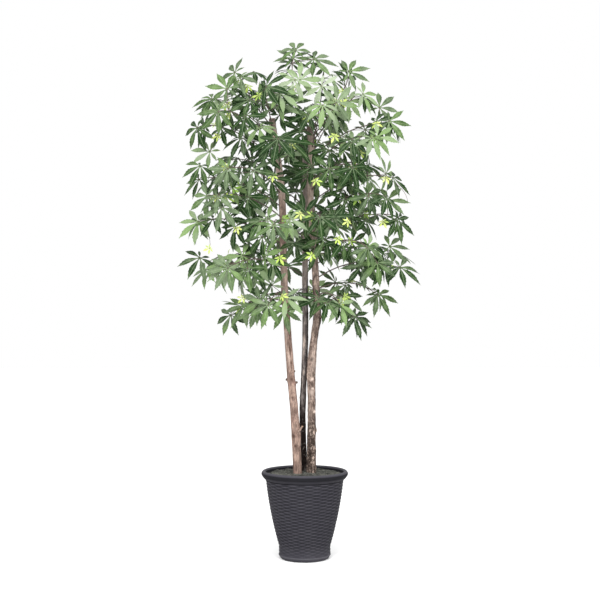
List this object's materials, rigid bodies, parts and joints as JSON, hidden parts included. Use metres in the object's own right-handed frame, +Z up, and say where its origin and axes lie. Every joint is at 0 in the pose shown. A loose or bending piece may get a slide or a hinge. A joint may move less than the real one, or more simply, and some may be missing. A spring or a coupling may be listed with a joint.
{
  "type": "potted japanese maple",
  "caption": "Standing indoor maple tree: three slim wooden trunks in a round woven-look planter carry a tall oval crown of hand-shaped leaves.",
  "frame": {"origin": "middle of the planter's flat underside, on the planter's axis", "axes": "+Z up along the planter's axis, -Y towards the viewer of the picture, +X to that viewer's right"},
  "size_m": [0.8569, 0.6587, 1.8406],
  "materials": {
    "planter_plastic": "satin moulded plastic with a woven relief, charcoal grey",
    "cast_mortar": "rough cast mortar",
    "filler_board": "light packing, unseen",
    "moss": "dark dyed moss over soil",
    "bark_pink_brown": "dull natural bark, pinkish brown",
    "bark_tan": "dull natural bark, tan with grey streaks",
    "bark_dark": "dull natural bark, dark brown",
    "foliage": "printed cloth leaves on thin brown stems, green with some yellow-green young leaves"
  },
  "bodies": {
    "root": {"planter": "planter_plastic", "cast_weight": "cast_mortar", "filler_disc": "filler_board", "moss_cover": "moss", "trunk_left": "bark_pink_brown", "trunk_right": "bark_tan", "trunk_middle": "bark_dark", "spray_left_01": "foliage", "spray_left_02": "foliage", "spray_left_03": "foliage", "spray_left_04": "foliage", "spray_left_05": "foliage", "spray_left_06": "foliage", "spray_left_07": "foliage", "spray_left_08": "foliage", "spray_left_09": "foliage", "spray_left_10": "foliage", "spray_left_11": "foliage", "spray_left_12": "foliage", "spray_left_13": "foliage", "spray_left_14": "foliage", "spray_left_15": "foliage", "spray_left_16": "foliage", "spray_left_17": "foliage", "spray_right_01": "foliage", "spray_right_02": "foliage", "spray_right_03": "foliage", "spray_right_04": "foliage", "spray_right_05": "foliage", "spray_right_06": "foliage", "spray_right_07": "foliage", "spray_right_08": "foliage", "spray_right_09": "foliage", "spray_right_10": "foliage", "spray_right_11": "foliage", "spray_right_12": "foliage", "spray_right_13": "foliage", "spray_right_14": "foliage", "spray_right_15": "foliage", "spray_right_16": "foliage", "spray_right_17": "foliage", "spray_right_18": "foliage", "spray_right_19": "foliage", "spray_middle_01": "foliage", "spray_middle_02": "foliage", "spray_middle_03": "foliage", "spray_middle_04": "foliage", "spray_middle_05": "foliage", "spray_middle_06": "foliage", "spray_middle_07": "foliage", "spray_middle_08": "foliage", "spray_middle_09": "foliage"}
  },
  "joints": []
}
